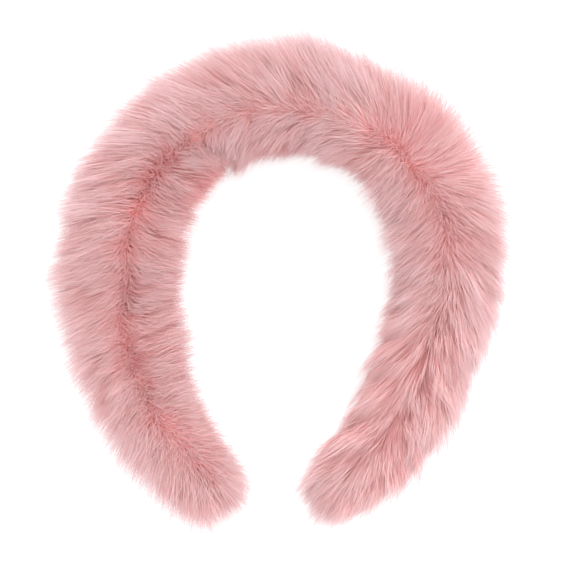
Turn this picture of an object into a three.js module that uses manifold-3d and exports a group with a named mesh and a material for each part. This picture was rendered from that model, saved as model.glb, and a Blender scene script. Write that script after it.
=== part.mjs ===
// Faux fur headband: a stiff Alice band sewn into a sleeve of deep plush pile.
//
// Millimetres, +Z up. The headband lies on its side, as it would on a table: its horseshoe is
// in the XY plane with the mouth towards -Y, and the pile is pressed flat where it rests at Z 0.
// The origin is under the middle of the object's box.
//
// The sleeve and its pile are one sewn piece that the band fills, so they are one solid: a roll
// that stands for the packed underfur, with the pile's outer form in locks fused to it. Each lock
// grows away from the parting, which runs along the top of the roll, and leans with the nap.

import * as THREE from "three";
import { mergeVertices } from "three/addons/utils/BufferGeometryUtils.js";
import Module from "manifold-3d";

// ---- Driving dimensions --------------------------------------------------------------------

const ROLL_SHARE = 0.86; // reach of the packed underfur, as a share of the pile's full reach
const ROLL_STEPS = 40; // sections along the roll between its two rounded ends
const ROLL_SIDES = 12; // corners round one section
const END_REACH = 6; // of the pile past the last section at each end
const END_STEPS = 3; // rings that round off each end

const LOCK_SPACING = 16; // between rows of locks, along the roll
const LOCK_GIRTH = 16.5; // between neighbouring locks in one row
const LOCK_LENGTH = 30; // over the roll, from root to tip
const LOCK_WIDTH = 15;
const LOCK_THICKNESS = 7;
const LOCK_FORM = [
  // along: share of the lock's length; depth: its middle, as a share of the pile's full reach;
  // size: share of its width and thickness
  { along: 0.0, depth: 0.78, size: 0 },
  { along: 0.3, depth: 0.89, size: 1 },
  { along: 0.65, depth: 0.93, size: 0.75 },
  { along: 1.0, depth: 1.0, size: 0 },
];
const FIRST_LOCK = -3; // degrees from the parting to the first roots
const LAST_LOCK = 110; // degrees from the parting to the last roots, above the pressed pile
const END_LOCKS = 7; // round each end
const END_LOCK_SPREAD = 0.75; // of a section's reach that the locks of an end fan out to
const END_LOCK_SIZE = 0.75;
const JITTER = 0.25; // of a lock's place and size, as a share of each
const SEED = 11;

const FLOOR_BLOCK = { side: 300, depth: 60 }; // wider and deeper than all that it trims

// One row for each section of the roll, in order from the left end over the crown to the right
// end, about 34 mm apart. x and y are the parting, seen from above, and centre is the height of
// the band's own middle. outer and inner are the pile's reach from the parting, away from the
// head and towards it, and rise is its reach upwards. outerNap and innerNap are the lean of the
// pile on each side of the parting, in degrees towards the right end.
const SECTIONS = [
  { x: -23, y: -84, centre: 18, outer: 15, inner: 13, rise: 23, outerNap: -70, innerNap: -80 },
  { x: -44, y: -58, centre: 20, outer: 22, inner: 17, rise: 26, outerNap: -25, innerNap: -20 },
  { x: -60, y: -28, centre: 22, outer: 24, inner: 22, rise: 28, outerNap: -25, innerNap: 0 },
  { x: -62, y: 6, centre: 23, outer: 27, inner: 22, rise: 30, outerNap: -30, innerNap: 0 },
  { x: -53, y: 38, centre: 23, outer: 28, inner: 21, rise: 31, outerNap: -35, innerNap: 30 },
  { x: -29, y: 61, centre: 23, outer: 28, inner: 19, rise: 31, outerNap: -45, innerNap: 0 },
  { x: 4, y: 69, centre: 23, outer: 28, inner: 19, rise: 31, outerNap: -40, innerNap: -40 },
  { x: 37, y: 59, centre: 23, outer: 26, inner: 18, rise: 31, outerNap: -45, innerNap: -40 },
  { x: 59, y: 35, centre: 23, outer: 26, inner: 21, rise: 31, outerNap: 35, innerNap: 15 },
  { x: 65, y: 1, centre: 23, outer: 24, inner: 21, rise: 30, outerNap: 55, innerNap: 40 },
  { x: 57, y: -32, centre: 22, outer: 20, inner: 21, rise: 28, outerNap: 50, innerNap: 75 },
  { x: 41, y: -62, centre: 20, outer: 19, inner: 19, rise: 26, outerNap: 45, innerNap: 85 },
  { x: 20, y: -86, centre: 18, outer: 12, inner: 12, rise: 23, outerNap: 80, innerNap: 85 },
];

const PILE = new THREE.MeshStandardMaterial({ color: "#dda8a9", roughness: 0.95, metalness: 0 });

// ---- The roll's line and sections ----------------------------------------------------------

const UP = new THREE.Vector3(0, 0, 1);

// Three columns of the table as one smooth curve through its rows.
function curveOf(...names) {
  const rows = SECTIONS.map((row) => new THREE.Vector3(...names.map((name) => row[name])));
  return new THREE.CatmullRomCurve3(rows, false, "centripetal");
}

const middleLine = curveOf("x", "y", "centre");
const reachLine = curveOf("outer", "inner", "rise");
const napLine = curveOf("outerNap", "innerNap", "centre");
const WIDEST = Math.max(...SECTIONS.map(({ outer, inner }) => outer + inner));

// What places a point of one section: its middle, directions, reach and nap. Past either end
// the line runs straight on.
function sectionAt(share) {
  const inside = THREE.MathUtils.clamp(share, 0, 1);
  const place = middleLine.getUtoTmapping(inside);
  const along = middleLine.getTangent(place).setZ(0).normalize();
  const past = (share - inside) * middleLine.getLength();
  const [outer, inner, rise] = reachLine.getPoint(place).toArray();
  const [outerNap, innerNap] = napLine.getPoint(place).toArray();
  return {
    middle: middleLine.getPoint(place).addScaledVector(along, past),
    along,
    outward: new THREE.Vector3().crossVectors(UP, along),
    reach: { outer, inner, rise },
    nap: { outer: outerNap, inner: innerNap },
  };
}

// A point of a section, at a turn from the parting that is positive on the outer side, with its
// depth as a share of the pile's full reach.
function pointAt(section, turn, depth) {
  const { outer, inner, rise } = section.reach;
  const side = Math.sin(turn) * (Math.sin(turn) > 0 ? outer : inner);
  return section.middle
    .clone()
    .addScaledVector(section.outward, side * depth)
    .addScaledVector(UP, Math.cos(turn) * rise * depth);
}

// ---- Closed meshes and solids --------------------------------------------------------------

const wasm = await Module();
wasm.setup();

function solidOf(geometry) {
  geometry.deleteAttribute("normal");
  geometry.deleteAttribute("uv");
  const merged = mergeVertices(geometry);
  const mesh = new wasm.Mesh({
    numProp: 3,
    vertProperties: new Float32Array(merged.attributes.position.array),
    triVerts: new Uint32Array(merged.index.array),
  });
  return new wasm.Manifold(mesh);
}

function geometryOf(solid) {
  const mesh = solid.getMesh();
  const geometry = new THREE.BufferGeometry();
  geometry.setAttribute("position", new THREE.BufferAttribute(mesh.vertProperties, 3));
  geometry.setIndex(new THREE.BufferAttribute(mesh.triVerts, 1));
  geometry.computeVertexNormals();
  return geometry;
}

// A closed solid from rings of corners, closed at each end by a fan to one point.
function solidOfRings(firstPoint, rings, lastPoint) {
  const sides = rings[0].length;
  const corners = rings.flat();
  const first = corners.push(firstPoint) - 1;
  const last = corners.push(lastPoint) - 1;
  const end = (rings.length - 1) * sides;
  const faces = [];
  for (let side = 0; side < sides; side += 1) {
    const next = (side + 1) % sides;
    faces.push([first, side, next], [last, end + next, end + side]);
    for (let low = 0; low < end; low += sides) {
      const high = low + sides;
      faces.push([low + side, high + next, low + next], [low + side, high + side, high + next]);
    }
  }
  const geometry = new THREE.BufferGeometry().setFromPoints(corners);
  geometry.setIndex(faces.flat());
  return solidOf(geometry);
}

// ---- The roll of packed underfur -----------------------------------------------------------

function rollRing(section, size, push) {
  return Array.from({ length: ROLL_SIDES }, (_, side) => {
    const turn = (2 * Math.PI * side) / ROLL_SIDES;
    return pointAt(section, turn, size * ROLL_SHARE).addScaledVector(section.along, push);
  });
}

// The rings that round off one end, from its last section outwards.
function endRings(section, direction) {
  return Array.from({ length: END_STEPS }, (_, step) => {
    const angle = ((Math.PI / 2) * (step + 1)) / (END_STEPS + 1);
    return rollRing(section, Math.cos(angle), direction * END_REACH * ROLL_SHARE * Math.sin(angle));
  });
}

function makeRoll() {
  const start = sectionAt(0);
  const finish = sectionAt(1);
  const push = END_REACH * ROLL_SHARE;
  const rings = Array.from({ length: ROLL_STEPS + 1 }, (_, step) =>
    rollRing(sectionAt(step / ROLL_STEPS), 1, 0),
  );
  return solidOfRings(
    start.middle.clone().addScaledVector(start.along, -push),
    [...endRings(start, -1).reverse(), ...rings, ...endRings(finish, 1)],
    finish.middle.clone().addScaledVector(finish.along, push),
  );
}

// ---- Locks of pile -------------------------------------------------------------------------

// A small seeded generator, so that every build gives the same locks.
let seed = SEED;
function random(low, high) {
  seed = (seed * 16807) % 2147483647;
  return low + ((high - low) * seed) / 2147483647;
}

// A curved, tapered tuft with a ridge down its back. Its path gives the place at a share of its
// length and a depth, and backwards is the way out of the roll.
function makeLock(path, backwards, size) {
  const [root, ...rest] = LOCK_FORM.map(({ along, depth }) => path(along, depth));
  const tip = rest.pop();
  const rings = rest.map((middle, ring) => {
    const forward = tip.clone().sub(root).normalize();
    const across = new THREE.Vector3().crossVectors(forward, backwards).normalize();
    const back = new THREE.Vector3().crossVectors(across, forward);
    const share = size * LOCK_FORM[ring + 1].size;
    const half = across.multiplyScalar((LOCK_WIDTH / 2) * share);
    const lift = back.multiplyScalar((LOCK_THICKNESS / 2) * share);
    return [
      middle.clone().add(half).sub(lift),
      middle.clone().add(lift),
      middle.clone().sub(half).sub(lift),
    ];
  });
  return solidOfRings(root, rings, tip);
}

// A lock on the side of the roll: it falls away from the parting and along its nap.
function sideLock(share, turn) {
  const section = sectionAt(share);
  const { outer, inner, rise } = section.reach;
  const outerShare = (1 + Math.sin(turn)) / 2;
  const nap = THREE.MathUtils.lerp(section.nap.inner, section.nap.outer, outerShare);
  const lean = THREE.MathUtils.degToRad(nap);
  const size = random(1 - JITTER, 1 + JITTER);
  const length = LOCK_LENGTH * size * ((outer + inner) / WIDEST);
  const drift = (length * Math.sin(lean)) / middleLine.getLength();
  const girthRadius = (rise + (outer + inner) / 2) / 2;
  const sweep = (Math.sign(turn) * length * Math.cos(lean)) / girthRadius;
  const past = END_REACH / middleLine.getLength();
  const path = (along, depth) => {
    const place = THREE.MathUtils.clamp(share + drift * along, -past, 1 + past);
    return pointAt(sectionAt(place), turn + sweep * along, depth);
  };
  const backwards = pointAt(section, turn + sweep / 2, 1).sub(section.middle);
  return makeLock(path, backwards, size);
}

function makeSideLocks() {
  const locks = [];
  const rows = Math.round(middleLine.getLength() / LOCK_SPACING);
  const first = THREE.MathUtils.degToRad(FIRST_LOCK);
  const last = THREE.MathUtils.degToRad(LAST_LOCK);
  for (let row = 0; row < rows; row += 1) {
    const { outer, inner, rise } = sectionAt((row + 0.5) / rows).reach;
    for (const [side, reach] of [[1, outer], [-1, inner]]) {
      const count = Math.round(((last - first) * (rise + reach)) / 2 / LOCK_GIRTH) + 1;
      for (let place = 0; place < count; place += 1) {
        const stagger = row % 2 ? 0.5 : 0;
        const turn = THREE.MathUtils.lerp(first, last, (place + stagger) / count);
        const share = (row + 0.5 + random(-JITTER, JITTER)) / rows;
        locks.push(sideLock(share, side * turn));
      }
    }
  }
  return locks;
}

// Locks that fan out past one end of the roll.
function makeEndLocks(section, direction) {
  return Array.from({ length: END_LOCKS }, (_, place) => {
    const turn = THREE.MathUtils.degToRad(LAST_LOCK) * ((2 * place) / (END_LOCKS - 1) - 1);
    const push = direction * END_REACH * random(1, 1 + JITTER);
    const path = (along, depth) =>
      pointAt(section, turn, END_LOCK_SPREAD * depth).addScaledVector(section.along, push * along);
    const backwards = pointAt(section, turn, 1).sub(section.middle);
    return makeLock(path, backwards, END_LOCK_SIZE * random(1 - JITTER, 1 + JITTER));
  });
}

// ---- The headband --------------------------------------------------------------------------

// The block under the resting surface, which trims the underside to a real flat face.
function makeFloorBlock() {
  const { side, depth } = FLOOR_BLOCK;
  const block = new THREE.BoxGeometry(side, side, depth);
  block.translate(0, 0, -depth / 2);
  return solidOf(block);
}

// The roll and its locks as one body. Small pockets closed in between locks are filled, by
// keeping only the outer of the surfaces that the join leaves.
function makePile() {
  const joined = wasm.Manifold.union([
    makeRoll(),
    ...makeSideLocks(),
    ...makeEndLocks(sectionAt(0), -1),
    ...makeEndLocks(sectionAt(1), 1),
  ]);
  const surfaces = joined.subtract(makeFloorBlock()).decompose();
  return surfaces.reduce((most, each) => (each.volume() > most.volume() ? each : most));
}

const furBand = new THREE.Mesh(geometryOf(makePile()), PILE);
furBand.name = "fur_band";

const headband = new THREE.Group();
headband.add(furBand);

export default headband;
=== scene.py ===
# %% [markdown]
# # A faux fur headband
#
# The real thing is a stiff horseshoe band sewn into a sleeve of long-pile plush. All that shows is
# the pile: a dense coat of fine acrylic fibres, a finger's breadth long, that part along the top of
# the roll and sweep away to both sides. This lesson builds that pile as real geometry, so that it
# looks right from every side and has a true outline.
#
# The solid model gives the place and size of everything. It is loaded first and never changed.

# %% Load the frame
import math
from collections import namedtuple

import bpy
import numpy as np
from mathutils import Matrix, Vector, noise


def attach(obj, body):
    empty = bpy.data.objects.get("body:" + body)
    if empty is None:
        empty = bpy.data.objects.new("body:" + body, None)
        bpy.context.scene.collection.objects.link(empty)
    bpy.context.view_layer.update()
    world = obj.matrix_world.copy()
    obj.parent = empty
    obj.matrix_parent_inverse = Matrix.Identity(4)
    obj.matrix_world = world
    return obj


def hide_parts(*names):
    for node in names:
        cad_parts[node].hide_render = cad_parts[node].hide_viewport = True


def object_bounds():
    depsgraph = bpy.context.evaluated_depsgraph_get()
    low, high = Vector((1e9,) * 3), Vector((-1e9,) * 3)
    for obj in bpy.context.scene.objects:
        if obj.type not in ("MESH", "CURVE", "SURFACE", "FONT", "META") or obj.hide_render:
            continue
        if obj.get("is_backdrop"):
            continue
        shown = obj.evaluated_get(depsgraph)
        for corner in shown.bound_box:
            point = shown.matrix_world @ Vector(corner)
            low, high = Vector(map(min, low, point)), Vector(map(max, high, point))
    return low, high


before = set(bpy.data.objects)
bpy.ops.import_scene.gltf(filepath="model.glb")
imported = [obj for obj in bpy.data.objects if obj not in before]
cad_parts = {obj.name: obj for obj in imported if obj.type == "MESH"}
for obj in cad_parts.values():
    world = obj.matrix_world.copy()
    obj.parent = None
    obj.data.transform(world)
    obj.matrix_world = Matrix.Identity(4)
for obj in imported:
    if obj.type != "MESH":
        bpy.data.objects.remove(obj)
cad_low, cad_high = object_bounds()
MM = 0.001
print("nodes of the solid model:", len(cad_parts))
print("solid model:", [round(v / MM, 1) for v in (*cad_low, *cad_high)], "mm")

# %% [markdown]
# ## The line and the sections of the roll
#
# A sewn roll that follows a curve could be modelled by pulling at a torus, but then no number would
# say how thick it is. Here it is told in a short table: where its middle runs, and how far the pile
# reaches outwards, inwards and upwards at each place. A smooth curve through the rows gives every
# section in between. These are the same sections as the solid model's, in millimetres.

# %% Sections
Section = namedtuple("Section", "x y centre outer inner rise")
SECTIONS = [
    Section(-23, -84, 18, 15, 13, 23),
    Section(-44, -58, 20, 22, 17, 26),
    Section(-60, -28, 22, 24, 22, 28),
    Section(-62, 6, 23, 27, 22, 30),
    Section(-53, 38, 23, 28, 21, 31),
    Section(-29, 61, 23, 28, 19, 31),
    Section(4, 69, 23, 28, 19, 31),
    Section(37, 59, 23, 26, 18, 31),
    Section(59, 35, 23, 26, 21, 31),
    Section(65, 1, 23, 24, 21, 30),
    Section(57, -32, 22, 20, 21, 28),
    Section(41, -62, 20, 19, 19, 26),
    Section(20, -86, 18, 12, 12, 23),
]


def through_rows(rows, share):
    """Smooth values between the rows of a table, at shares of the way from first to last."""
    rows = np.array(rows, float)
    place = np.clip(share, 0, 1) * (len(rows) - 1)
    row = np.minimum(place.astype(int), len(rows) - 2)
    t = (place - row)[..., None]
    padded = np.vstack([2 * rows[0] - rows[1], rows, 2 * rows[-1] - rows[-2]])
    a, b, c, d = (padded[row + step] for step in range(4))
    return 0.5 * (2 * b + (c - a) * t + (2 * a - 5 * b + 4 * c - d) * t**2 + (3 * b - a - 3 * c + d) * t**3)


steps = through_rows(SECTIONS, np.linspace(0, 1, 400))[:, :2]
LENGTH = float(np.linalg.norm(np.diff(steps, axis=0), axis=1).sum())
print(f"the roll's line is {LENGTH:.0f} mm long")

# %% [markdown]
# ## A point of the roll
#
# Every fibre has to know where its root and its tip are. Both come from one function: a share of
# the way along, a turn from the parting (positive on the outer side), and a depth from 0 at the
# middle to 1 at the ends of the fibres. Past the two ends the roll closes like a soft brush.

# %% Points of the roll
END_REACH = 10
BRUSH_TAPER = math.radians(50)
LOOK_AHEAD = 0.002
UP = np.array([0, 0, 1.0])


def roll_frame(share):
    """Middle, along and outward directions, and length past the ends, at shares of the way."""
    inside = np.clip(share, 0, 1)
    ahead = through_rows(SECTIONS, np.clip(inside + LOOK_AHEAD, 0, 1))
    behind = through_rows(SECTIONS, np.clip(inside - LOOK_AHEAD, 0, 1))
    along = ahead[..., :3] - behind[..., :3]
    along[..., 2] = 0
    along /= np.linalg.norm(along, axis=-1, keepdims=True)
    outward = np.cross(UP, along)
    past = (share - inside)[..., None] * LENGTH
    middle = through_rows(SECTIONS, inside)[..., :3] + along * past
    return middle, along, outward, past[..., 0]


def roll_point(share, turn, depth):
    """Points of the roll, in millimetres."""
    middle, _, outward, past = roll_frame(share)
    sizes = through_rows(SECTIONS, share)
    side = np.where(np.sin(turn) > 0, sizes[..., 3], sizes[..., 4]) * np.sin(turn)
    brush = np.cos(np.clip(np.abs(past) / END_REACH, 0, 1) * BRUSH_TAPER)
    out = (side * depth * brush)[..., None]
    lift = (np.cos(turn) * sizes[..., 5] * depth * brush)[..., None]
    return middle + outward * out + UP * lift


crown_top = roll_point(np.array([0.5]), np.array([0.0]), 1.0)[0]
print("top of the roll at the crown:", crown_top.round(1), "mm")

# %% [markdown]
# ## The nap
#
# Pile never stands straight: it has been brushed and packed, and lies over in swirls. Particle hair
# is combed with a brush tool, which can't be written down. So the comb is a table along the roll,
# from the left end to the right one, and the rows blend into each other. Its columns are:
#
# - outer, inner: how far the nap leans towards the right end on the two sides of the parting, in
#   degrees. A change of sign makes a swirl, as on the outer side above the right arm.
# - lay: how far a tip lies from above its root. bow: how far a fibre bulges. Both in millimetres.
# - outer_clump, inner_clump: how strongly fibres draw together in tufts, from 0 to 1.
# - stray: how far a single tip may stray, in millimetres.
# - outer_fluff, inner_fluff: how far the pile stands out past its section, in millimetres.
# - crest: how far the imported roots rise under the parting, as a share of the section.
# - deep, reach: how much of the root's darker colour, painted shade, shows along the parting, and
#   how wide, in degrees. A negative value makes the pile paler there.
# - under: how much painted shade darkens the inner side's colour, from 0 to 1.
# - ruffle: how unruly the tufts are, with 1 for a brushed coat and 2 for one that was slept on.

# %% Nap table
Nap = namedtuple(
    "Nap",
    "outer inner lay bow outer_clump inner_clump stray outer_fluff inner_fluff "
    "crest deep reach under ruffle",
)
NAP = [
    Nap(-78, -88, 15, 2.5, 0.10, 0.10, 5.4, 1.3, -5.0, 0.20, -0.60, 150, 0.0, 0.7),
    Nap(-60, -62, 13, 2.5, 0.10, 0.10, 5.2, 4.5, -4.4, 0.26, -0.50, 120, 0.0, 0.8),
    Nap(-32, -20, 13, 1.5, 0.16, 0.14, 4.4, 4.2, -0.3, 0.27, -0.15, 60, 0.0, 1.0),
    Nap(-30, -22, 13, 1.0, 0.20, 0.18, 3.2, 3.0, -0.5, 0.26, 0.05, 14, 0.1, 1.0),
    Nap(-24, 2, 14, 1.0, 0.22, 0.22, 2.6, 1.4, 4.2, 0.23, 0.10, 12, 0.3, 1.0),
    Nap(-25, 7, 15, 1.0, 0.22, 0.24, 2.4, 3.4, 2.4, 0.23, 0.10, 12, 0.4, 1.0),
    Nap(-30, 0, 15, 1.0, 0.22, 0.24, 2.2, 4.8, 1.4, 0.23, 0.10, 12, 0.4, 1.0),
    Nap(-30, 4, 15, 1.0, 0.22, 0.24, 2.2, 2.6, 0.4, 0.23, 0.10, 12, 0.5, 1.0),
    Nap(-36, 20, 15, 1.0, 0.24, 0.24, 2.2, 2.8, 0.6, 0.23, 0.05, 12, 0.7, 1.0),
    Nap(-42, 30, 16, 1.5, 0.28, 0.24, 2.2, 2.0, 0.4, 0.25, 0.05, 14, 1.0, 1.0),
    Nap(-44, -8, 16, 1.5, 0.28, 0.24, 2.2, 3.4, -4.0, 0.27, 0.05, 14, 0.7, 1.0),
    Nap(-43, -42, 16, 1.5, 0.28, 0.20, 2.2, 4.0, -0.6, 0.28, 0.00, 14, 0.3, 1.0),
    Nap(-42, -42, 16, 1.5, 0.28, 0.20, 2.2, 4.4, 0.8, 0.29, 0.00, 14, 0.2, 1.0),
    Nap(-42, -35, 16, 1.5, 0.28, 0.20, 2.2, 4.0, -2.6, 0.29, 0.00, 14, 0.2, 1.0),
    Nap(-45, -40, 16, 1.5, 0.28, 0.20, 2.4, 1.4, 0.8, 0.28, 0.05, 18, 0.2, 1.0),
    Nap(-24, 5, 16, 1.5, 0.24, 0.20, 2.6, 7.8, 1.4, 0.27, 0.08, 20, 0.1, 1.0),
    Nap(42, 15, 16, 1.5, 0.24, 0.20, 2.6, 4.2, 0.8, 0.25, 0.10, 22, 0.0, 1.0),
    Nap(52, 28, 17, 2.0, 0.28, 0.20, 2.4, 1.0, 2.0, 0.23, 0.16, 22, 0.0, 1.0),
    Nap(60, 42, 18, 2.5, 0.34, 0.24, 2.4, 0.4, -1.0, 0.17, 0.20, 26, 0.2, 1.2),
    Nap(55, 55, 20, 3.0, 0.40, 0.34, 2.6, -0.4, -0.8, 0.09, 0.25, 36, 0.5, 1.5),
    Nap(52, 76, 22, 3.5, 0.45, 0.45, 2.8, 0.2, -4.2, 0.03, 0.25, 60, 0.6, 1.8),
    Nap(46, 84, 22, 4.0, 0.50, 0.50, 2.8, -2.8, -8.4, 0.00, 0.25, 60, 0.6, 2.0),
    Nap(40, 86, 22, 4.0, 0.50, 0.50, 2.8, -0.8, -1.6, 0.03, 0.25, 60, 0.5, 2.0),
    Nap(62, 86, 18, 3.5, 0.40, 0.45, 3.0, -2.8, -0.6, 0.06, 0.10, 60, 0.1, 1.6),
    Nap(80, 92, 11, 3.0, 0.30, 0.40, 3.4, -11.0, -6.4, 0.06, 0.00, 60, 0.0, 1.2),
]
print(f"nap: {len(NAP)} rows, one each {LENGTH / (len(NAP) - 1):.0f} mm")

# %% [markdown]
# ## The skin under the pile
#
# The fibres need something to grow from. The skin is a closed roll at about half the pile's reach.
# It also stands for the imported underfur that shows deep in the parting, so its roots rise in a low
# crest there. Its corners are a plain grid of steps along and sides around, gathered closer near
# the parting, where the nap changes most.

# %% Skin grid
SKIN_DEPTH = 0.5
SKIN_STEPS = 170
SKIN_SIDES = 60
SKIN_END = 0.02
SIDES_GATHER = 0.5

share = np.linspace(SKIN_END, 1 - SKIN_END, SKIN_STEPS + 1)
turn = np.linspace(0, 2 * np.pi, SKIN_SIDES, endpoint=False)
turn = np.where(turn > np.pi, turn - 2 * np.pi, turn)
turn = turn - SIDES_GATHER * np.sin(turn)
share, turn = (grid.ravel() for grid in np.meshgrid(share, turn, indexing="ij"))
nap = Nap(*through_rows(NAP, share).T)
sizes = Section(*through_rows(SECTIONS, share).T)
print(f"skin grid: {len(share)} corners")

# %% [markdown]
# ## The parting
#
# A hand-brushed parting is never a drawn line. It wanders to both sides by smooth noise, and two
# bells around it say where the skin rises and where the fibres stand up.

# %% Parting
PARTING_WOBBLE = math.radians(9)
WOBBLE_SCALE = 14
WOBBLE_SEED = 2
CREST_WIDTH = math.radians(20)
RIDGE_WIDTH = math.radians(14)
NOISE_SEED = 3
SEED_STEPS = (17.3, 5.1, 9.7)

# Without a seed of its own this noise would differ each time the script runs.
noise.seed_set(NOISE_SEED)


def flow_noise(points, scale, seed):
    """Smooth random vectors, for the swirls that pile falls into."""
    offset = Vector([seed * step for step in SEED_STEPS])
    return np.array([noise.noise_vector(Vector(p) / scale + offset) for p in points])


def bell(angle, width):
    """1 in the middle, falling away smoothly on both sides."""
    return np.exp(-((angle / width) ** 2))


level = roll_point(share, turn, SKIN_DEPTH)
wobble = flow_noise(level, WOBBLE_SCALE, WOBBLE_SEED)[:, 0] * PARTING_WOBBLE
ridge = bell(turn + wobble, RIDGE_WIDTH)
crest = bell(turn + wobble, CREST_WIDTH)
roots = roll_point(share, turn, SKIN_DEPTH + nap.crest * crest)
print(f"the parting wanders by up to {math.degrees(np.abs(wobble).max()):.0f} degrees")

# %% [markdown]
# ## The comb
#
# For each corner of the skin the comb works out where the tip of a fibre would lie if it were
# combed to the outer side, and where if to the inner side. Near the parting a fibre stands up more
# than it leans, which is what makes its end show as a dot. Two sizes of noise add the swirls.

# %% Comb
# How far a swirl carries a tip, and how wide the swirl is, in millimetres.
SWIRLS = ((4.0, 22), (1.7, 8))
RIDGE_STAND = 0.7

girth_radius = (sizes.rise + (sizes.outer + sizes.inner) / 2) / 2
swirl = sum(flow_noise(roots, scale, scale) * size for size, scale in SWIRLS)


def combed(lean, way):
    """Where the tips lie when combed outwards (way 1) or inwards (way -1)."""
    drift = nap.lay * np.sin(lean) * (1 - RIDGE_STAND * ridge) + swirl[:, 0]
    sweep = (way * nap.lay * np.cos(lean) + swirl[:, 1]) / girth_radius
    side = np.sin(turn + sweep)
    fluff = np.where(side > 0, nap.outer_fluff / sizes.outer, nap.inner_fluff / sizes.inner)
    return roll_point(share + drift / LENGTH, turn + sweep, 1 + fluff * side**2)


outer_tips = combed(np.radians(nap.outer), 1)
inner_tips = combed(np.radians(nap.inner), -1)
rise = roots - roll_frame(share)[0]
rise /= np.linalg.norm(rise, axis=1, keepdims=True)
print(f"fibres are {np.linalg.norm(outer_tips - roots, axis=1).mean():.0f} mm long on average")

# %% [markdown]
# ## The ends
#
# The skin closes in a point at each end, so it has no open edge. The fibres of a point go straight
# on, past the end of the roll.

# %% Ends
POLE_BULGE = 5

end_middle, end_along, _, _ = roll_frame(np.array([SKIN_END, 1 - SKIN_END]))
way_on = end_along * np.array([[-1], [1]])
poles = end_middle + way_on * POLE_BULGE
pole_tips = end_middle + way_on * (SKIN_END * LENGTH + END_REACH)
print("ends of the skin:", poles[:, :2].round(0).tolist(), "mm")

# %% [markdown]
# ## How the coat differs around the roll
#
# The coat isn't the same all the way round. Its tufts are most unruly on top and calm at the edges
# and in the parting. The inner side lies in the shade of the rest, so its colour is painted deeper
# there, as painted shade that keeps more of its root's colour. The pile grows thinly underneath,
# where it is never seen, and thickly along the parting, where one looks down into it.

# %% Coat around the roll
RIDGE_CALM = 0.65
CALM_EDGE = 0.2
UNDER_FROM = math.radians(8)
UNDER_TO = math.radians(45)
UNDER_DEEPENS = 0.5
UNDERSIDE_TURN = math.radians(125)
UNDERSIDE_GROWTH = 0.25
RIDGE_GROWTH = 0.6

unrest = (CALM_EDGE + (1 - CALM_EDGE) * np.cos(turn) ** 2) * nap.ruffle
unrest *= 1 - RIDGE_CALM * ridge
clump = np.where(turn > 0, nap.outer_clump * unrest / nap.ruffle, nap.inner_clump)
# Painted shade on the inner side, from 0 to 1: it lowers the tint and deepens the colour there.
shade = nap.under * np.clip((-turn - UNDER_FROM) / (UNDER_TO - UNDER_FROM), 0, 1)
# Painted shade: more of the root's darker colour along the parting and on the shaded inner side.
deep = nap.deep * bell(turn + wobble, np.radians(nap.reach)) + UNDER_DEEPENS * shade**2
growth = np.where(np.abs(turn) > UNDERSIDE_TURN, UNDERSIDE_GROWTH, 1.0) + RIDGE_GROWTH * ridge
print(f"growth: {growth.min():.2f} to {growth.max():.2f} times the coat's")

# %% [markdown]
# ## What the skin tells its fibres
#
# Geometry Nodes can read any value that a mesh keeps at its corners. So everything that differs
# along and around the roll is kept there as an attribute: the two lays, the colour, how unruly the
# tufts are, and how densely the pile grows. Drawing a picture for each value would work too, but
# corners need no unwrapping. The last two values of each attribute are for the two ends.

# %% Skin attributes
END_CLUMP = (0.2, 0.3)
END_STRAY = 4
END_BOW = 1
PALEST = -0.6

corners = np.vstack([roots, poles])
VECTORS = {
    "outer_lay": (np.vstack([outer_tips, pole_tips]) - corners) * MM,
    "inner_lay": (np.vstack([inner_tips, pole_tips]) - corners) * MM,
    "rise": np.vstack([rise, way_on]),
}
NUMBERS = {
    "share": [*share, 0, 1],
    "turn": [*turn, 0, 0],
    "parting": [*wobble, 0, 0],
    "bow": np.append(nap.bow, [END_BOW, END_BOW]) * MM,
    "clump": [*clump, *END_CLUMP],
    "unrest": [*unrest, CALM_EDGE, CALM_EDGE],
    "stray": np.append(nap.stray, [END_STRAY, END_STRAY]) * MM,
    "deep": [*np.clip(deep, PALEST, 1), PALEST, 0],
    "shade": [*shade, 0, 0],
    "growth": [*growth, 1, 1],
}
print("attributes:", *VECTORS, *NUMBERS)

# %% [markdown]
# ## Closing the skin
#
# The corners are joined by four-sided faces, ring by ring, and by a fan of triangles at each end.
# They are written straight into a mesh and not made with a modelling tool, because each value has
# to land on its own corner, and a tool could number the corners in another order.

# %% Skin mesh
faces = []
for ring in range(SKIN_STEPS):
    for side in range(SKIN_SIDES):
        a, b = ring * SKIN_SIDES + side, ring * SKIN_SIDES + (side + 1) % SKIN_SIDES
        faces.append((a, a + SKIN_SIDES, b + SKIN_SIDES, b))
first_pole, last_pole = len(roots), len(roots) + 1
last_ring = SKIN_STEPS * SKIN_SIDES
for side in range(SKIN_SIDES):
    a, b = side, (side + 1) % SKIN_SIDES
    faces.append((first_pole, a, b))
    faces.append((last_pole, last_ring + b, last_ring + a))

skin_mesh = bpy.data.meshes.new("skin")
skin_mesh.from_pydata((corners * MM).tolist(), [], faces)
skin_mesh.update()
for name, values in VECTORS.items():
    kept = skin_mesh.attributes.new(name, "FLOAT_VECTOR", "POINT")
    kept.data.foreach_set("vector", np.asarray(values, np.float32).ravel())
for name, values in NUMBERS.items():
    kept = skin_mesh.attributes.new(name, "FLOAT", "POINT")
    kept.data.foreach_set("value", np.asarray(values, np.float32))
skin = bpy.data.objects.new("skin", skin_mesh)
bpy.context.scene.collection.objects.link(skin)
print(f"skin: {len(skin_mesh.polygons)} faces")

# %% [markdown]
# ## Node helper
#
# One small function adds a node, sets it and links its inputs. The Geometry Nodes tree and the
# materials are both written with it. It gives back the output that is wanted, which the next node
# can take as an input. Short names stand for the sums that are used most.


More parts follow.
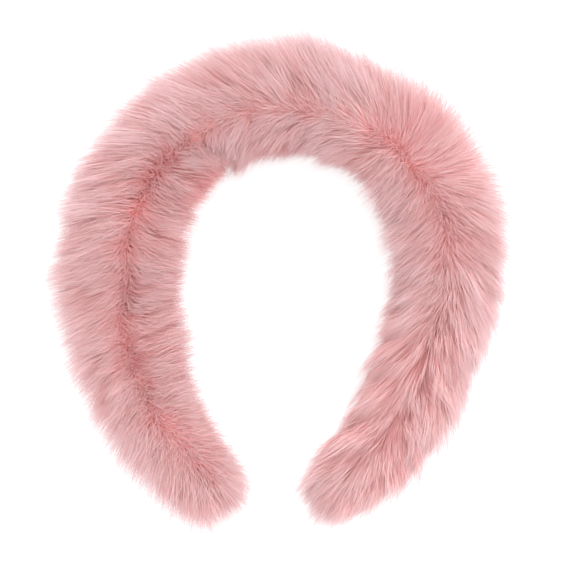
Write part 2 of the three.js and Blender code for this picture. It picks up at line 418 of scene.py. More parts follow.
# %% Node helper
def add_node(tree, kind, settings=None, out=0, **inputs):
    """Adds a node and gives back the output numbered or named by out.

    An input is a value or an output to link from, under its name or as i0, i1 and so on.
    """
    node = tree.nodes.new(kind)
    for name, value in (settings or {}).items():
        setattr(node, name, value)
    for name, value in inputs.items():
        key = int(name[1:]) if name[0] == "i" and name[1:].isdigit() else name.replace("_", " ")
        if isinstance(value, bpy.types.NodeSocket):
            tree.links.new(value, node.inputs[key])
        else:
            node.inputs[key].default_value = value
    return node.outputs[out]


MATH = "ShaderNodeMath"
VECTOR = "ShaderNodeVectorMath"
PLUS = {"operation": "ADD"}
MINUS = {"operation": "SUBTRACT"}
TIMES = {"operation": "MULTIPLY"}
TIMES_PLUS = {"operation": "MULTIPLY_ADD"}
SCALED = {"operation": "SCALE"}
print("short names for sums:", MATH, VECTOR)

# %% [markdown]
# ## The pile as Geometry Nodes
#
# Hair could be a particle system or hair curves, but neither is a mesh with a closed surface of its
# own, and flat cards with a drawn fringe look wrong from the side. So each fibre is a closed
# three-sided spike with a handful of faces. One tree scatters the spikes over the skin, bends each
# along its lay, and draws neighbours together into tufts. Its inputs are the sizes that differ
# from one kind of fibre to the next. A real fibre is far finer than 0.28 mm, and the coat has
# several times as many: they are as fine as the number of faces allows.

# %% Tree inputs
TREE_INPUTS = (
    ("Strands per square metre", "NodeSocketFloat", 1.0e6),
    ("Strand width", "NodeSocketFloat", 0.28 * MM),
    ("Pieces of a strand", "NodeSocketInt", 1),
    ("Seed", "NodeSocketInt", 1),
    ("First share", "NodeSocketFloat", 0.0),
    ("Last share", "NodeSocketFloat", 1.0),
    ("First turn", "NodeSocketFloat", -4.0),
    ("Last turn", "NodeSocketFloat", 4.0),
    ("Tuft spacing", "NodeSocketFloat", 5.0 * MM),
    ("Wisp spacing", "NodeSocketFloat", 1.8 * MM),
    ("Tuft strength", "NodeSocketFloat", 0.6),
    ("Tuft wander", "NodeSocketFloat", 2.0 * MM),
    ("Tuft lift", "NodeSocketFloat", 4.5 * MM),
    ("Tuft sway", "NodeSocketFloat", 2.8 * MM),
    ("Shortest", "NodeSocketFloat", 0.68),
    ("Longest", "NodeSocketFloat", 1.21),
    ("Paleness", "NodeSocketFloat", 0.0),
    ("Parting ease", "NodeSocketFloat", math.radians(20)),
    ("Parting mix", "NodeSocketFloat", math.radians(12)),
)

tree = bpy.data.node_groups.new("pile", "GeometryNodeTree")
tree.interface.new_socket("Geometry", in_out="INPUT", socket_type="NodeSocketGeometry")
for name, kind, value in TREE_INPUTS:
    tree.interface.new_socket(name, in_out="INPUT", socket_type=kind).default_value = value
tree.interface.new_socket("Geometry", in_out="OUTPUT", socket_type="NodeSocketGeometry")
given = tree.nodes.new("NodeGroupInput").outputs
print(f"tree inputs: {len(TREE_INPUTS)}")

# %% [markdown]
# ## Reading the skin and drawing lots
#
# What the skin keeps is read by name. Whatever has to differ from fibre to fibre is drawn at
# random, and each draw has its own number on top of the piece's seed, so it comes out the same
# every time.

# %% Values and draws
FLOAT = {"data_type": "FLOAT"}
ARROW = {"data_type": "FLOAT_VECTOR"}
DRAW_LAY, DRAW_WAY, DRAW_LENGTH, DRAW_TINT, DRAW_ROLL, DRAW_WIDTH, DRAW_STRAY = range(2, 9)

position = add_node(tree, "GeometryNodeInputPosition")
of_skin = {
    name: add_node(tree, "GeometryNodeInputNamedAttribute", kind, "Attribute", Name=name)
    for names, kind in ((VECTORS, ARROW), (NUMBERS, FLOAT))
    for name in names
}


def draw_number(low, high, number):
    """A random number between two limits, from its own numbered draw."""
    seed = add_node(tree, MATH, PLUS, i0=given["Seed"], i1=float(number))
    return add_node(tree, "FunctionNodeRandomValue", FLOAT, 1, i2=low, i3=high, Seed=seed)


def draw_arrow(number):
    """A random vector whose parts lie between -1 and 1."""
    seed = add_node(tree, MATH, PLUS, i0=given["Seed"], i1=float(number))
    ones = (1, 1, 1)
    return add_node(
        tree, "FunctionNodeRandomValue", ARROW, 0, i0=(-1, -1, -1), i1=ones, Seed=seed
    )


print("read from the skin:", len(of_skin), "attributes")

# %% [markdown]
# ## Scattering the roots
#
# The points are scattered at random, with a density that follows the skin's own growth value. Each
# piece keeps the points of its own stretch and side only.


# %% Roots
def within(value, low, high):
    """Whether a value lies from low up to high."""
    above = add_node(tree, "FunctionNodeCompare", {"operation": "GREATER_EQUAL"}, i0=value, i1=low)
    below = add_node(tree, "FunctionNodeCompare", {"operation": "LESS_THAN"}, i0=value, i1=high)
    return add_node(tree, "FunctionNodeBooleanMath", {"operation": "AND"}, i0=above, i1=below)


in_stretch = within(of_skin["share"], given["First share"], given["Last share"])
on_side = within(of_skin["turn"], given["First turn"], given["Last turn"])
here = add_node(tree, "FunctionNodeBooleanMath", {"operation": "AND"}, i0=in_stretch, i1=on_side)
elsewhere = add_node(tree, "FunctionNodeBooleanMath", {"operation": "NOT"}, i0=here)
density = add_node(tree, MATH, TIMES, i0=of_skin["growth"], i1=given["Strands per square metre"])
points = add_node(
    tree,
    "GeometryNodeDistributePointsOnFaces",
    {"distribute_method": "RANDOM"},
    Mesh=given["Geometry"],
    Density=density,
    Seed=given["Seed"],
)
points = add_node(
    tree,
    "GeometryNodeDeleteGeometry",
    {"domain": "POINT"},
    Geometry=points,
    Selection=elsewhere,
)
print(f"roots: {len(tree.nodes)} nodes so far")

# %% [markdown]
# ## Combing
#
# A fibre takes the outer or the inner lay by the side of the parting that it grows on. Near the
# parting it takes something in between, and some fibres fall to the wrong side, as they do on a
# coat that was brushed by hand.


# %% Combing
def combed_lay(number):
    """The lay of a fibre by its place, somewhat astray by its own draw."""
    astray = add_node(
        tree, MATH, TIMES, i0=draw_number(-1.0, 1.0, number), i1=given["Parting mix"]
    )
    angle = add_node(tree, MATH, PLUS, i0=of_skin["turn"], i1=of_skin["parting"])
    angle = add_node(tree, MATH, PLUS, i0=angle, i1=astray)
    angle = add_node(
        tree, MATH, {"operation": "DIVIDE"}, i0=angle, i1=given["Parting ease"]
    )
    side = add_node(tree, MATH, {"operation": "TANH"}, i0=angle)
    outer_part = add_node(tree, MATH, TIMES_PLUS, i0=side, i1=0.5, i2=0.5)
    return add_node(
        tree,
        "ShaderNodeMix",
        {"data_type": "VECTOR"},
        1,
        i0=outer_part,
        i4=of_skin["inner_lay"],
        i5=of_skin["outer_lay"],
    )


own_tip = add_node(tree, VECTOR, PLUS, i0=position, i1=combed_lay(DRAW_LAY))
print(f"combing: {len(tree.nodes)} nodes so far")

# %% [markdown]
# ## Guides
#
# Long pile doesn't lie fibre by fibre: it gathers in tufts. Sparse guide points on the skin have a
# lay of their own, and each fibre looks up the nearest guide and leans towards the guide's tip. Hair
# curves have a node for this, but it works on curves only, and a spike is told where to go by its
# tip alone.

# %% Guides
LAY_OF_GUIDE = 20
WAY_OF_GUIDE = 40
LOT_OF_GUIDE = 60
GUIDES_PER_SPACING = 1.2


def lean_to_guides(tip, spacing, strength, seed, wander):
    """The tip drawn towards the nearest guide's, with that guide's lot and its own way."""
    area = add_node(tree, MATH, TIMES, i0=spacing, i1=spacing)
    most = add_node(tree, MATH, {"operation": "DIVIDE"}, i0=GUIDES_PER_SPACING, i1=area)
    guides = add_node(
        tree,
        "GeometryNodeDistributePointsOnFaces",
        {"distribute_method": "POISSON"},
        Mesh=given["Geometry"],
        i2=spacing,
        i3=most,
        Seed=seed,
    )
    nearest = add_node(
        tree, "GeometryNodeSampleNearest", {"domain": "POINT"}, Geometry=guides
    )
    way = draw_arrow(seed + WAY_OF_GUIDE)
    apart = add_node(tree, VECTOR, SCALED, i0=way, i3=wander)
    guide_tip = add_node(tree, VECTOR, PLUS, i0=position, i1=combed_lay(seed + LAY_OF_GUIDE))
    guide_tip = add_node(tree, VECTOR, PLUS, i0=guide_tip, i1=apart)
    lot = draw_number(0.0, 1.0, seed + LOT_OF_GUIDE)
    found_tip, found_lot, found_way = (
        add_node(
            tree,
            "GeometryNodeSampleIndex",
            {**kind, "domain": "POINT"},
            Geometry=guides,
            Value=value,
            Index=nearest,
        )
        for value, kind in ((guide_tip, ARROW), (lot, FLOAT), (way, ARROW))
    )
    mixed = add_node(
        tree, "ShaderNodeMix", {"data_type": "VECTOR"}, 1, i0=strength, i4=tip, i5=found_tip
    )
    return mixed, found_lot, found_way


print("guides:", GUIDES_PER_SPACING, "at most to a square as wide as their spacing")

# %% [markdown]
# ## Tufts, and wisps in them
#
# The pile leans to guides twice: to tufts about 5 mm apart, and within those to wisps about 2 mm
# apart. Wisps pull a little even where the coat is smooth, and part more where it is clumped. The
# guides stand in the same places for every piece of a kind, and each piece draws its own lots for
# them.

# %% Tufts
TUFTS = 11
WISPS_IN_TUFTS = 12
WISP_PULL = 0.6
LEAST_PULL = 0.04
WISP_WANDER = 3.5 * MM
LEAST_WANDER = 0.5 * MM

tuft_pull = add_node(tree, MATH, TIMES, i0=of_skin["clump"], i1=given["Tuft strength"])
wisp_pull = add_node(tree, MATH, TIMES_PLUS, i0=of_skin["clump"], i1=WISP_PULL, i2=LEAST_PULL)
wisp_wander = add_node(
    tree, MATH, TIMES_PLUS, i0=of_skin["clump"], i1=WISP_WANDER, i2=LEAST_WANDER
)
tip, tuft, tuft_way = lean_to_guides(
    own_tip, given["Tuft spacing"], tuft_pull, TUFTS, given["Tuft wander"]
)
tip, wisp, _ = lean_to_guides(tip, given["Wisp spacing"], wisp_pull, WISPS_IN_TUFTS, wisp_wander)
print(f"tufts: {len(tree.nodes)} nodes so far")

# %% [markdown]
# ## Unruly tufts, stray fibres
#
# Leaning alone gives a coat that looks combed with oil. What makes it soft is that a tuft lies
# higher or lower than its neighbours and a little to one side, and that every fibre strays a
# little and a few stray far.

# %% Stray
FAR_STRAY = 1.7
LEAST_STRAY = 0.5
FAR_IS_RARE = 4.0

from_middle = add_node(tree, MATH, MINUS, i0=tuft, i1=0.5)
lift = add_node(tree, MATH, TIMES, i0=from_middle, i1=given["Tuft lift"])
lift = add_node(tree, MATH, TIMES, i0=lift, i1=of_skin["unrest"])
sway = add_node(tree, MATH, TIMES, i0=given["Tuft sway"], i1=of_skin["unrest"])
few_far = draw_number(0.0, 1.0, DRAW_STRAY)
few_far = add_node(tree, MATH, {"operation": "POWER"}, i0=few_far, i1=FAR_IS_RARE)
how_far = add_node(tree, MATH, TIMES_PLUS, i0=few_far, i1=FAR_STRAY, i2=LEAST_STRAY)
how_far = add_node(tree, MATH, TIMES, i0=how_far, i1=of_skin["stray"])
for way, size in ((tuft_way, sway), (of_skin["rise"], lift), (draw_arrow(DRAW_WAY), how_far)):
    shift = add_node(tree, VECTOR, SCALED, i0=way, i3=size)
    tip = add_node(tree, VECTOR, PLUS, i0=tip, i1=shift)
print(f"stray: {len(tree.nodes)} nodes so far")

# %% [markdown]
# ## Length
#
# Cut pile still has fibres of many lengths, because the mill mixes short ones in to make it dense.
# Most are near the short end of the range. A tuft's own length follows its lot, and so differs more
# where the coat is clumped.

# %% Length
MANY_SHORT = 1.3
TUFT_LENGTH = 0.5

lot = draw_number(0.0, 1.0, DRAW_LENGTH)
lot = add_node(tree, MATH, {"operation": "POWER"}, i0=lot, i1=MANY_SHORT)
span = add_node(tree, MATH, MINUS, i0=given["Longest"], i1=given["Shortest"])
length = add_node(tree, MATH, TIMES_PLUS, i0=lot, i1=span, i2=given["Shortest"])
tuft_length = add_node(tree, MATH, TIMES, i0=from_middle, i1=of_skin["clump"])
tuft_length = add_node(tree, MATH, TIMES_PLUS, i0=tuft_length, i1=TUFT_LENGTH, i2=1.0)
length = add_node(tree, MATH, TIMES, i0=length, i1=tuft_length)
lay = add_node(tree, VECTOR, MINUS, i0=tip, i1=position)
lay = add_node(tree, VECTOR, SCALED, i0=lay, i3=length)
print(f"length: {len(tree.nodes)} nodes so far")

# %% [markdown]
# ## Tint
#
# Dye takes unevenly, and a tuft that lies high catches more light: the lot that lifts a tuft also
# makes it paler, so a high tuft is painted paler, a painted highlight on top of the uneven dye. Each
# fibre has a tint from 0, deep, to 1, pale: mostly its tuft's, partly its wisp's, and a little its
# own. On the shaded inner side it is lower, as painted shade, and a kind of strand that has a
# paleness of its own is drawn towards 1.

# %% Tint
# The tuft's share is partly painted highlight: high tufts come out paler.
TINT_OF_TUFT = 0.6
TINT_OF_WISP = 0.3
TINT_OF_ITS_OWN = 0.1
SHADE_TAKES = 0.7
TINT_BASE = 0.02

own = draw_number(0.0, 1.0, DRAW_TINT)
tint = add_node(tree, MATH, TIMES, i0=wisp, i1=TINT_OF_WISP)
tint = add_node(tree, MATH, TIMES_PLUS, i0=tuft, i1=TINT_OF_TUFT, i2=tint)
tint = add_node(tree, MATH, TIMES_PLUS, i0=own, i1=TINT_OF_ITS_OWN, i2=tint)
# Painted shade: the shaded inner side takes a deeper tint.
less = add_node(tree, MATH, TIMES_PLUS, i0=of_skin["shade"], i1=SHADE_TAKES, i2=TINT_BASE)
tint = add_node(tree, MATH, MINUS, i0=tint, i1=less)
tint = add_node(tree, "ShaderNodeClamp", Value=tint)
tint = add_node(tree, "ShaderNodeMix", FLOAT, i0=given["Paleness"], i2=tint, i3=1.0)
print(f"tint: {len(tree.nodes)} nodes so far")

# %% [markdown]
# ## What a point keeps
#
# Each point keeps its fibre's values as attributes, because they have to outlast the next step, in
# which the points give way to spikes. Worked out anew at a spike's corners, they would come out
# different at each corner.

# %% Values of a strand
THINNEST = 0.7
THICKEST = 1.3
STRAND_VALUES = {
    "strand_lay": (lay, ARROW),
    "strand_root": (position, ARROW),
    "strand_tint": (tint, FLOAT),
    "strand_roll": (draw_number(0.0, 2 * math.pi, DRAW_ROLL), FLOAT),
    "strand_width": (draw_number(THINNEST, THICKEST, DRAW_WIDTH), FLOAT),
}
STORE = "GeometryNodeStoreNamedAttribute"

for name, (value, kind) in STRAND_VALUES.items():
    at_points = {**kind, "domain": "POINT"}
    points = add_node(tree, STORE, at_points, Geometry=points, Name=name, Value=value)
print("values of a strand:", *STRAND_VALUES)

# %% [markdown]
# ## From points to spikes
#
# A spike is put on every point as an instance, and the instances are made real, because the export
# drops instances, and only real corners can be moved one by one. Every spike is the same upright
# cone at first, and its corners remember where on that cone they are.

# %% Spikes
spike = add_node(
    tree,
    "GeometryNodeMeshCone",
    {"fill_type": "NGON"},
    Vertices=3,
    Side_Segments=given["Pieces of a strand"],
    Radius_Top=0.0,
    Radius_Bottom=1.0,
    Depth=1.0,
)
spike = add_node(
    tree, STORE, {**ARROW, "domain": "POINT"}, Geometry=spike, Name="bit", Value=position
)
strands = add_node(tree, "GeometryNodeInstanceOnPoints", Points=points, Instance=spike)
strands = add_node(tree, "GeometryNodeRealizeInstances", Geometry=strands)
bit = add_node(tree, "GeometryNodeInputNamedAttribute", ARROW, "Attribute", Name="bit")
bit_x, bit_y, along = add_node(tree, "ShaderNodeSeparateXYZ", i0=bit).node.outputs
of_strand = {
    name: add_node(tree, "GeometryNodeInputNamedAttribute", kind, "Attribute", Name=name)
    for name, (_, kind) in STRAND_VALUES.items()
}
print(f"spikes: {len(tree.nodes)} nodes so far")

# %% [markdown]
# ## The bend of a fibre
#
# The middle of a fibre runs from the root along the lay, and bulges away from the skin. The bulge
# is the bow times 4 x (1 - x), where x is the share of the way up: that is 0 at both ends and 1
# halfway. Its slope, the bow times 4 - 8 x, says where the fibre points at that place. A curve could
# be bent in the same way, but a formula costs nothing for each of so many fibres.

# %% Middle line
bow = add_node(tree, VECTOR, SCALED, i0=of_skin["rise"], i3=of_skin["bow"])
rest = add_node(tree, MATH, MINUS, i0=1.0, i1=along)
bend = add_node(tree, MATH, TIMES, i0=along, i1=rest)
bend = add_node(tree, MATH, TIMES, i0=bend, i1=4.0)
bulge = add_node(tree, VECTOR, SCALED, i0=bow, i3=bend)
path = add_node(tree, VECTOR, SCALED, i0=of_strand["strand_lay"], i3=along)
path = add_node(tree, VECTOR, PLUS, i0=bulge, i1=path)
slope = add_node(tree, MATH, TIMES_PLUS, i0=along, i1=-8.0, i2=4.0)
slope = add_node(tree, VECTOR, SCALED, i0=bow, i3=slope)
forward = add_node(tree, VECTOR, PLUS, i0=slope, i1=of_strand["strand_lay"])
forward = add_node(tree, VECTOR, {"operation": "NORMALIZE"}, i0=forward)
print(f"middle line: {len(tree.nodes)} nodes so far")

# %% [markdown]
# ## The thickness of a fibre
#
# Each corner of a spike goes to its own side of the middle line, by the fibre's width there. The
# width falls off slowly at first and quickly at the tip, as on a fibre with a drawn point. Nothing
# goes below the surface that the headband lies on, where the real pile is pressed flat.

# %% Thickness
TAPER = 0.7
FLOOR_GAP = 0.3 * MM
# Any direction that no fibre follows: what lies across a fibre is worked out from it.
SIDEWAYS = (0.31, 0.52, 0.79)

across = add_node(tree, VECTOR, {"operation": "CROSS_PRODUCT"}, i0=forward, i1=SIDEWAYS)
across = add_node(tree, VECTOR, {"operation": "NORMALIZE"}, i0=across)
other = add_node(tree, VECTOR, {"operation": "CROSS_PRODUCT"}, i0=forward, i1=across)
angle = add_node(tree, MATH, {"operation": "ARCTAN2"}, i0=bit_y, i1=bit_x)
angle = add_node(tree, MATH, PLUS, i0=angle, i1=of_strand["strand_roll"])
cosine = add_node(tree, MATH, {"operation": "COSINE"}, i0=angle)
sine = add_node(tree, MATH, {"operation": "SINE"}, i0=angle)
across = add_node(tree, VECTOR, SCALED, i0=across, i3=cosine)
other = add_node(tree, VECTOR, SCALED, i0=other, i3=sine)
ring = add_node(tree, VECTOR, PLUS, i0=across, i1=other)
taper = add_node(tree, MATH, {"operation": "MAXIMUM"}, i0=rest, i1=0.0)
taper = add_node(tree, MATH, {"operation": "POWER"}, i0=taper, i1=TAPER)
radius = add_node(tree, MATH, TIMES, i0=taper, i1=given["Strand width"])
half = add_node(tree, MATH, TIMES, i0=of_strand["strand_width"], i1=0.5)
radius = add_node(tree, MATH, TIMES, i0=radius, i1=half)
ring = add_node(tree, VECTOR, SCALED, i0=ring, i3=radius)
place = add_node(tree, VECTOR, PLUS, i0=of_strand["strand_root"], i1=path)
place = add_node(tree, VECTOR, PLUS, i0=place, i1=ring)
x, y, z = add_node(tree, "ShaderNodeSeparateXYZ", i0=place).node.outputs
z = add_node(tree, MATH, {"operation": "MAXIMUM"}, i0=z, i1=FLOOR_GAP)
place = add_node(tree, "ShaderNodeCombineXYZ", X=x, Y=y, Z=z)
strands = add_node(tree, "GeometryNodeSetPosition", Geometry=strands, Position=place)
print(f"thickness: {len(tree.nodes)} nodes so far")

# %% [markdown]
# ## Where a strand finds its colour
#
# A colour that runs from root to tip and differs from strand to strand could be a vertex colour,
# but a bake reads the piece's own UV map. So the map itself carries both numbers: across is the
# strand's tint, and up is how far along it is. Where the skin says deep, the strand's way up is
# shortened, so it keeps more of its root's darker colour as painted shade, and a negative value
# makes it paler. The corners of a strand lie a little apart, because a face with no width on the
# map can't be baked.

# %% Colour map
MAP_EDGE = 0.01
MAP_SIZE = 0.98
SIDE_OF_STRAND = 0.003
CORNER = {"data_type": "FLOAT2", "domain": "CORNER"}

# Painted shade: where the skin says deep, a strand stays nearer its darker root colour; a pale kind keeps
# less of it.
kept_deep = add_node(tree, MATH, MINUS, i0=1.0, i1=given["Paleness"])
kept_deep = add_node(tree, MATH, TIMES, i0=of_skin["deep"], i1=kept_deep)
ramp_reach = add_node(tree, MATH, MINUS, i0=1.0, i1=kept_deep)
up = add_node(tree, MATH, TIMES, i0=along, i1=ramp_reach)
up = add_node(tree, MATH, {"operation": "MINIMUM"}, i0=up, i1=1.0)
up = add_node(tree, MATH, TIMES_PLUS, i0=up, i1=MAP_SIZE, i2=MAP_EDGE)
side = add_node(tree, MATH, TIMES, i0=bit_x, i1=SIDE_OF_STRAND)
over = add_node(
    tree, MATH, TIMES_PLUS, i0=of_strand["strand_tint"], i1=MAP_SIZE, i2=MAP_EDGE
)
over = add_node(tree, MATH, PLUS, i0=over, i1=side)
colour_map = add_node(tree, "ShaderNodeCombineXYZ", X=over, Y=up)
strands = add_node(tree, STORE, CORNER, Geometry=strands, Name="OFBake", Value=colour_map)
print(f"colour map: {len(tree.nodes)} nodes so far")

# %% [markdown]
# ## Colours
#
# Every finish starts from a hex colour, as a dye chart would give it, and one function turns that
# to the linear values that Blender reckons with.


# %% Finish helpers
def linear(hex_colour):
    """A linear colour from an sRGB hex value, by the standard formula."""
    srgb = [int(hex_colour[i : i + 2], 16) / 255 for i in (1, 3, 5)]
    return [v / 12.92 if v <= 0.04045 else ((v + 0.055) / 1.055) ** 2.4 for v in srgb] + [1.0]


def new_material(name):
    """An empty finish."""
    material = bpy.data.materials.new(name)
    material.use_nodes = True
    material.node_tree.nodes.clear()
    return material


def finish_material(material, **inputs):
    """Gives a finish its shader, with the values or outputs for it."""
    shader = add_node(material.node_tree, "ShaderNodeBsdfPrincipled", **inputs)
    output = material.node_tree.nodes.new("ShaderNodeOutputMaterial")
    material.node_tree.links.new(shader, output.inputs[0])
    print("finish:", material.name)


def set_stops(blended, stops):
    """Gives a colour ramp its (place, hex colour) stops."""
    ramp = blended.node.color_ramp
    while len(ramp.elements) < len(stops):
        ramp.elements.new(0.5)
    for element, (place, colour) in zip(ramp.elements, stops):
        element.position = place
        element.color = linear(colour)


print("half grey in linear values:", [round(v, 3) for v in linear("#808080")[:3]])

# %% [markdown]
# ## Acrylic pile
#
# The pile is dyed acrylic fibre, drawn fine and cut. It is one dusty pink, and its colour is painted
# deeper near the roots, as painted shade where light has to find its way in, and paler at the tips,
# where the fibre thins. A single fibre glints, a coat of them doesn't: so it is fairly rough and
# hardly reflects.

# %% Acrylic pile
# Stops from root to tip: the darker stops near the root are painted shade.
DEEP_STRAND = ((0.0, "#c97e7a"), (0.12, "#eea29f"), (0.5, "#f0b1b0"), (1.0, "#e2c1c3"))
PALE_STRAND = ((0.0, "#d38a86"), (0.12, "#f6b1ae"), (0.5, "#f6d4d5"), (1.0, "#ecdcdf"))

pile = new_material("acrylic pile")
shading = pile.node_tree
colour_map = add_node(shading, "ShaderNodeUVMap", {"uv_map": "OFBake"})
map_parts = add_node(shading, "ShaderNodeSeparateXYZ", i0=colour_map).node.outputs
tint_of_map, along_of_map, _ = map_parts
deep_colour = add_node(shading, "ShaderNodeValToRGB", Fac=along_of_map)
set_stops(deep_colour, DEEP_STRAND)
pale_colour = add_node(shading, "ShaderNodeValToRGB", Fac=along_of_map)
set_stops(pale_colour, PALE_STRAND)
pile_colour = add_node(
    shading,
    "ShaderNodeMix",
    {"data_type": "RGBA"},
    2,
    i0=tint_of_map,
    i6=deep_colour,
    i7=pale_colour,
)
finish_material(pile, Base_Color=pile_colour, Roughness=0.6, Specular_IOR_Level=0.1)

# %% [markdown]
# ## Packed underfur
#
# Deep in the parting the short fibres are packed so close that they show as specks about a
# millimetre wide. That is what the skin's finish draws, with fine noise between two root colours,
# which are darker than the pile as painted shade deep in it.
# It is rougher than the pile, because only fibre ends show.

# %% Packed underfur
SPECKS_PER_MM = 0.9
# Both are darker root colours: painted shade at the bottom of the pile.
SPECK_COLOURS = ((0.35, "#d4827e"), (0.65, "#e2938f"))

underfur = new_material("packed underfur")
shading = underfur.node_tree
place_on_skin = add_node(shading, "ShaderNodeTexCoord", None, "Object")
specks = add_node(
    shading,
    "ShaderNodeTexNoise",
    Vector=place_on_skin,
    Scale=SPECKS_PER_MM / MM,
    Detail=3.0,
    Roughness=0.6,
)
speck_colour = add_node(shading, "ShaderNodeValToRGB", Fac=specks)
set_stops(speck_colour, SPECK_COLOURS)
finish_material(underfur, Base_Color=speck_colour, Roughness=0.95, Specular_IOR_Level=0.1)

# %% [markdown]
# ## Closing the tree
#
# The strands are shaded flat: on a three-sided spike, smooth shading bends the light so far that
# it leaves dark patches. Then they get the finish of the pile, and the tree is complete.

# %% Close the tree
strands = add_node(
    tree, "GeometryNodeSetShadeSmooth", Geometry=strands, Shade_Smooth=False
)
strands = add_node(tree, "GeometryNodeSetMaterial", Geometry=strands, Material=pile)
tree.links.new(strands, tree.nodes.new("NodeGroupOutput").inputs[0])
print(f"pile tree: {len(tree.nodes)} nodes")

# %% [markdown]
# ## Three kinds of strand
#
# The coat covers everything with straight spikes of four faces. Over it lie wisps, fewer, finer,
# bent and paler, which are the fibres that have worked loose. On the right arm the coat was slept
# on and stands in locks, so there the loose ones are many, long and strongly drawn together. One
# tree makes all three, because they differ in its inputs alone.

# %% Kinds
COAT = {"Strands per square metre": 5.8e6}
WISPS = {
    "Strands per square metre": 0.5e6,
    "Pieces of a strand": 2,
    "Strand width": 0.22 * MM,
    "Tuft spacing": 5.5 * MM,
    "Tuft strength": 1.4,
    "Tuft wander": 4.0 * MM,
    "Shortest": 0.95,
    "Longest": 1.22,
    "Paleness": 0.4,
}
LOCKS = {
    "Strands per square metre": 1.7e6,
    "Pieces of a strand": 2,
    "Strand width": 0.22 * MM,
    "Tuft spacing": 3.5 * MM,
    "Tuft strength": 1.5,
    "Tuft wander": 4.0 * MM,
    "Shortest": 0.9,
    "Longest": 1.3,
    "Paleness": 0.6,
}
print("strands per square metre:", *(kind["Strands per square metre"] for kind in (COAT, WISPS, LOCKS)))

# %% [markdown]
# ## Stretches
#
# The pile is grown in stretches, each a piece of its own, because as one mesh it would be too
# heavy to handle. They share the skin and its nap, so the coat runs on from one to the next.

# %% Stretches
Stretch = namedtuple("Stretch", "name kind first_share last_share first_turn last_turn")
START, END = -1, 2
INNER, PARTING, OUTER = -4, 0, 4
STRETCHES = [
    Stretch("coat_left_outer", COAT, START, 0.34, PARTING, OUTER),
    Stretch("coat_left_inner", COAT, START, 0.36, INNER, PARTING),
    Stretch("coat_crown_outer", COAT, 0.34, 0.66, PARTING, OUTER),
    Stretch("coat_crown_inner", COAT, 0.36, 0.66, INNER, PARTING),
    Stretch("coat_right_outer", COAT, 0.66, END, PARTING, OUTER),
    Stretch("coat_right_inner", COAT, 0.66, END, INNER, PARTING),
    Stretch("wisps_left", WISPS, START, 0.4, INNER, OUTER),
    Stretch("wisps_crown", WISPS, 0.4, 0.72, INNER, OUTER),
    Stretch("locks_right", LOCKS, 0.72, END, INNER, OUTER),
]
print("stretches:", len(STRETCHES))

# %% [markdown]
# ## Growing the pile
#
# Each stretch borrows a copy of the skin, puts the tree on it as a modifier, and keeps what comes
# out as a plain mesh. The borrowed skin and its modifier go away again, and so do the values that
# were only needed on the way. An input of a modifier is set by its identifier, not its name, and
# before the result is asked for.

# %% How a stretch grows
identifiers = {item.name: item.identifier for item in tree.interface.items_tree}


def grow(stretch, seed):
    """A stretch of pile as a plain mesh on an object of its own."""
    grower = bpy.data.objects.new(stretch.name + "_grower", skin.data.copy())
    bpy.context.scene.collection.objects.link(grower)
    modifier = grower.modifiers.new("pile", "NODES")
    modifier.node_group = tree
    inputs = {
        "Seed": seed,
        "First share": float(stretch.first_share),
        "Last share": float(stretch.last_share),
        "First turn": float(stretch.first_turn),
        "Last turn": float(stretch.last_turn),
        **stretch.kind,
    }
    for name, value in inputs.items():
        modifier[identifiers[name]] = value
    bpy.context.view_layer.update()
    grown = grower.evaluated_get(bpy.context.evaluated_depsgraph_get())
    mesh = bpy.data.meshes.new_from_object(grown)
    mesh.name = stretch.name
    for name in ("bit", *STRAND_VALUES, *VECTORS, *NUMBERS):
        if name in mesh.attributes:
            mesh.attributes.remove(mesh.attributes[name])
    bpy.data.objects.remove(grower)
    return bpy.data.objects.new(stretch.name, mesh)


print("inputs known by identifier:", len(identifiers))

# %% [markdown]
# ## All the stretches
#
# Each stretch has a seed of its own, so that no two are alike. Together they stand in for the solid
# model's fur band.

# %% All the stretches
total = 0
for seed, stretch in enumerate(STRETCHES, start=1):
    piece = grow(stretch, seed)
    bpy.context.scene.collection.objects.link(piece)
    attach(piece, "root")
    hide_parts("fur_band")
    piece.data.calc_loop_triangles()
    total += len(piece.data.loop_triangles)
    print(f"{stretch.name}: {len(piece.data.loop_triangles)} triangles")
print("pile:", total, "triangles")

# %% [markdown]
# ## The skin as underfur
#
# The skin has done its work as a comb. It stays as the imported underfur, shaded smooth, so that the
# parting has a floor.

# %% Underfur
skin.name = "underfur"
skin.data.materials.append(underfur)
skin.data.polygons.foreach_set("use_smooth", [True] * len(skin.data.polygons))
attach(skin, "root")
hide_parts("fur_band")
print("underfur:", [round(v / MM) for v in skin.dimensions], "mm")

# %% [markdown]
# ## White paper floor
#
# The headband lies on a sheet of matt white paper that runs out of view, lit from the back a
# little so that it stays white right up to the fur. A plain sheet that was only bright would throw
# so much light up that the lower fibres lose their colour, so part of the white is its own glow.

# %% Floor
FLOOR_HALF = 3.0

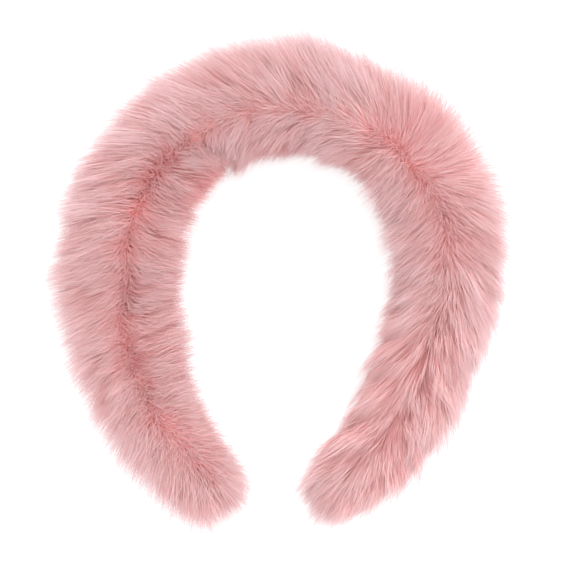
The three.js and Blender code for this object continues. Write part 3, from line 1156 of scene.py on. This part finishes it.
floor_mesh = bpy.data.meshes.new("floor")
corner_signs = ((-1, -1), (1, -1), (1, 1), (-1, 1))
floor_corners = [(x * FLOOR_HALF, y * FLOOR_HALF, 0) for x, y in corner_signs]
floor_mesh.from_pydata(floor_corners, [], [(0, 1, 2, 3)])
floor = bpy.data.objects.new("floor", floor_mesh)
bpy.context.scene.collection.objects.link(floor)
white_paper = new_material("white paper")
finish_material(
    white_paper,
    Base_Color=linear("#b9b9b9"),
    Roughness=0.9,
    Specular_IOR_Level=0.1,
    Emission_Color=linear("#ffffff"),
    Emission_Strength=0.72,
)
floor_mesh.materials.append(white_paper)
floor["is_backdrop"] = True

# %% [markdown]
# ## Light
#
# Fur is shown best in soft light, because hard light makes every fibre a line. The whole room
# glows, and one large lamp above the upper right gives the tufts a lighter side.

# %% Light
KEY_PLACE = (0.25, 0.35, 1.3)
KEY_SIZE = 0.8
KEY_WATTS = 9
ROOM_GLOW = 1.085

world = bpy.data.worlds.new("studio")
bpy.context.scene.world = world
world.use_nodes = True
background = world.node_tree.nodes["Background"].inputs
background["Color"].default_value = (1, 1, 1, 1)
background["Strength"].default_value = ROOM_GLOW

light = bpy.data.lights.new("key", "AREA")
light.shape = "DISK"
light.size = KEY_SIZE
light.energy = KEY_WATTS
lamp = bpy.data.objects.new("key", light)
bpy.context.scene.collection.objects.link(lamp)
lamp.location = KEY_PLACE
lamp.rotation_euler = (-Vector(KEY_PLACE)).to_track_quat("-Z", "Y").to_euler()
print("lamp:", KEY_WATTS, "W at", KEY_PLACE, "m")

# %% [markdown]
# ## Camera
#
# The headband is looked at from straight above, as it lies. The camera stands nearly a metre off,
# so that near and far pile are drawn almost the same size.

# %% Camera
VIEW_WIDTH = 228 * MM
DISTANCE = 0.95
SENSOR = 36
FARTHEST = 20
HALFWAY_UP = 23 * MM
AIM_X = 1.4 * MM
AIM_Y = -0.2 * MM

camera_data = bpy.data.cameras.new("camera")
camera_data.sensor_width = SENSOR
camera_data.lens = SENSOR * DISTANCE / VIEW_WIDTH
camera_data.clip_end = FARTHEST
camera = bpy.data.objects.new("camera", camera_data)
bpy.context.scene.collection.objects.link(camera)
camera.location = (AIM_X, AIM_Y, DISTANCE + HALFWAY_UP)
bpy.context.scene.camera = camera
bpy.context.scene.view_settings.view_transform = "Standard"
print(f"camera: {camera_data.lens:.0f} mm lens")

# %% [markdown]
# ## Sizes and finish
# Last, the size of the dressed headband is kept next to that of the solid model and printed.

# %% Finish
bpy.context.view_layer.update()
low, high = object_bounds()
sizes = {"cad": [list(cad_low), list(cad_high)], "visual": [list(low), list(high)]}
print("visual model:", [round(v / MM, 1) for v in (*low, *high)], "mm")
